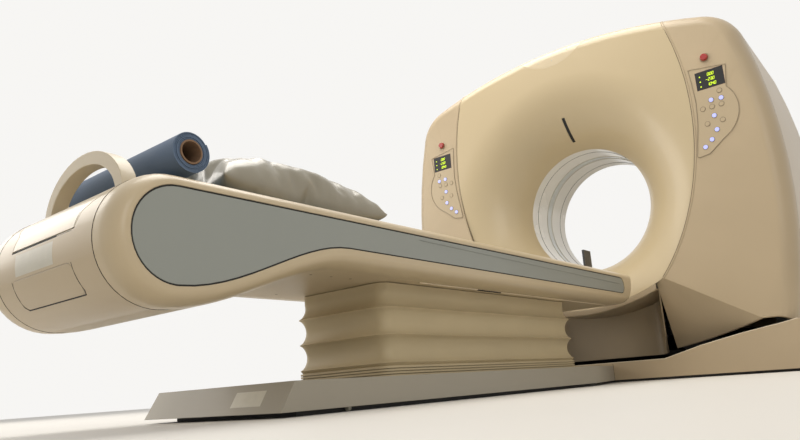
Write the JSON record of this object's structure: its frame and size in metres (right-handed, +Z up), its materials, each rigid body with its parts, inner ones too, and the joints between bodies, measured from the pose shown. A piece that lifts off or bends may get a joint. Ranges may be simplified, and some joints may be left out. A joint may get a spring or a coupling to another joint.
{
  "type": "CT scanner",
  "caption": "Whole-body CT scanner: a tilting ring gantry with a flared opening on a floor base, and a patient couch on a bellows-covered lift with pillow and paper roll.",
  "frame": {"origin": "on the floor, straight below the point where the opening's axis meets the scan plane", "axes": "+Z up; the couch lies along Y on the -Y side and the gantry's front faces -Y; the machine is mirror symmetric about X = 0 apart from the loose bracket"},
  "size_m": [2.1326, 3.7565, 1.928],
  "materials": {
    "cover_cream": "satin moulded",
    "cover_beige": "satin moulded",
    "base_grey": "satin",
    "inlay_grey": "satin",
    "bellows_cream": "matt folded",
    "frame_steel": "satin",
    "plate_dark": "matt",
    "column_aluminium": "anodised",
    "bearing_steel": "ground",
    "tube_housing": "satin",
    "detector_dark": "matt",
    "slip_ring_brass": "polished tracks",
    "liner_white": "satin",
    "window_clear": "translucent",
    "slit_black": "gloss",
    "display_black": "gloss",
    "key_lit": "lit cap",
    "stop_red": "gloss",
    "tabletop_cream": "satin gel coat",
    "sheet_blue": "woven",
    "pillow_grey": "wrinkled vinyl",
    "paper_blue": "non-woven paper",
    "card_brown": "wound cardboard",
    "bracket_black": "matt"
  },
  "bodies": {
    "base": {"gantry_base": "plate_dark", "gantry_base_cover": "base_grey", "left_stand": "frame_steel", "right_stand": "frame_steel", "couch_base_plate": "plate_dark", "couch_base_cover": "base_grey", "lift_outer_columns": "column_aluminium", "bellows": "bellows_cream"},
    "gantry": {"tilt_frame": "frame_steel", "bore_liner": "liner_white", "scan_window": "window_clear", "dish_cover": "cover_cream", "left_front_panel": "cover_beige", "right_front_panel": "cover_beige", "lower_front_panel": "cover_beige", "badge_panel": "cover_cream", "laser_window": "slit_black", "left_side_cover": "cover_cream", "right_side_cover": "cover_cream", "rear_cover": "cover_cream", "left_control_panel": "cover_beige", "right_control_panel": "cover_beige", "left_display": "display_black", "right_display": "display_black"},
    "rotor": {"rotor_drum": "bearing_steel", "xray_tube": "tube_housing", "detector": "detector_dark", "slip_ring": "slip_ring_brass"},
    "stage_one": {"lift_stage_one": "column_aluminium"},
    "stage_two": {"lift_stage_two": "column_aluminium"},
    "couch": {"couch_frame": "frame_steel", "left_couch_cover": "cover_cream", "right_couch_cover": "cover_cream", "left_inlay": "inlay_grey", "right_inlay": "inlay_grey", "end_cover": "cover_cream", "access_panel": "cover_cream", "underside_cover": "cover_beige"},
    "table": {"tabletop": "tabletop_cream", "tabletop_end_cap": "tabletop_cream", "hoop_handle": "cover_cream", "mattress": "sheet_blue", "pillow": "pillow_grey", "paper_roll": "paper_blue", "roll_core": "card_brown", "side_bracket": "bracket_black"},
    "left_stop": {"left_stop_button": "stop_red"},
    "left_key_1_cap": {"left_key_1": "key_lit"},
    "left_key_2_cap": {"left_key_2": "key_lit"},
    "left_key_3_cap": {"left_key_3": "key_lit"},
    "left_key_4_cap": {"left_key_4": "key_lit"},
    "left_key_5_cap": {"left_key_5": "key_lit"},
    "left_key_6_cap": {"left_key_6": "key_lit"},
    "right_stop": {"right_stop_button": "stop_red"},
    "right_key_1_cap": {"right_key_1": "key_lit"},
    "right_key_2_cap": {"right_key_2": "key_lit"},
    "right_key_3_cap": {"right_key_3": "key_lit"},
    "right_key_4_cap": {"right_key_4": "key_lit"},
    "right_key_5_cap": {"right_key_5": "key_lit"},
    "right_key_6_cap": {"right_key_6": "key_lit"}
  },
  "joints": [
    {"name": "gantry_tilt", "type": "hinge", "parent": "base", "child": "gantry", "pos_m": [0, 0, 0.984], "axis": [-1, 0, 0], "range_deg": [-30, 6]},
    {"name": "rotor_spin", "type": "hinge", "parent": "gantry", "child": "rotor", "pos_m": [0, 0, 0.984], "axis": [0, 1, 0], "continuous": true},
    {"name": "couch_lift", "type": "slide", "parent": "base", "child": "couch", "axis": [0, 0, 1], "range_m": [-0.15, 0.33], "deforming": ["bellows"]},
    {"name": "stage_one_lift", "type": "slide", "parent": "base", "child": "stage_one", "axis": [0, 0, 1], "range_m": [-0.05, 0.11]},
    {"name": "stage_two_lift", "type": "slide", "parent": "base", "child": "stage_two", "axis": [0, 0, 1], "range_m": [-0.1, 0.22]},
    {"name": "table_slide", "type": "slide", "parent": "couch", "child": "table", "axis": [0, 1, 0], "range_m": [0, 0.1]},
    {"name": "left_stop_press", "type": "slide", "parent": "gantry", "child": "left_stop", "axis": [0, 1, 0], "range_m": [0, 0.004], "stiffness_N_per_m": 2500},
    {"name": "left_key_1_press", "type": "slide", "parent": "gantry", "child": "left_key_1_cap", "axis": [0, 1, 0], "range_m": [0, 0.002], "stiffness_N_per_m": 1500},
    {"name": "left_key_2_press", "type": "slide", "parent": "gantry", "child": "left_key_2_cap", "axis": [0, 1, 0], "range_m": [0, 0.002], "stiffness_N_per_m": 1500},
    {"name": "left_key_3_press", "type": "slide", "parent": "gantry", "child": "left_key_3_cap", "axis": [0, 1, 0], "range_m": [0, 0.002], "stiffness_N_per_m": 1500},
    {"name": "left_key_4_press", "type": "slide", "parent": "gantry", "child": "left_key_4_cap", "axis": [0, 1, 0], "range_m": [0, 0.002], "stiffness_N_per_m": 1500},
    {"name": "left_key_5_press", "type": "slide", "parent": "gantry", "child": "left_key_5_cap", "axis": [0, 1, 0], "range_m": [0, 0.002], "stiffness_N_per_m": 1500},
    {"name": "left_key_6_press", "type": "slide", "parent": "gantry", "child": "left_key_6_cap", "axis": [0, 1, 0], "range_m": [0, 0.002], "stiffness_N_per_m": 1500},
    {"name": "right_stop_press", "type": "slide", "parent": "gantry", "child": "right_stop", "axis": [0, 1, 0], "range_m": [0, 0.004], "stiffness_N_per_m": 2500},
    {"name": "right_key_1_press", "type": "slide", "parent": "gantry", "child": "right_key_1_cap", "axis": [0, 1, 0], "range_m": [0, 0.002], "stiffness_N_per_m": 1500},
    {"name": "right_key_2_press", "type": "slide", "parent": "gantry", "child": "right_key_2_cap", "axis": [0, 1, 0], "range_m": [0, 0.002], "stiffness_N_per_m": 1500},
    {"name": "right_key_3_press", "type": "slide", "parent": "gantry", "child": "right_key_3_cap", "axis": [0, 1, 0], "range_m": [0, 0.002], "stiffness_N_per_m": 1500},
    {"name": "right_key_4_press", "type": "slide", "parent": "gantry", "child": "right_key_4_cap", "axis": [0, 1, 0], "range_m": [0, 0.002], "stiffness_N_per_m": 1500},
    {"name": "right_key_5_press", "type": "slide", "parent": "gantry", "child": "right_key_5_cap", "axis": [0, 1, 0], "range_m": [0, 0.002], "stiffness_N_per_m": 1500},
    {"name": "right_key_6_press", "type": "slide", "parent": "gantry", "child": "right_key_6_cap", "axis": [0, 1, 0], "range_m": [0, 0.002], "stiffness_N_per_m": 1500}
  ],
  "couplings": [
    {"joint": "stage_one_lift", "follows": "couch_lift", "ratio": 0.33333},
    {"joint": "stage_two_lift", "follows": "couch_lift", "ratio": 0.66667}
  ]
}
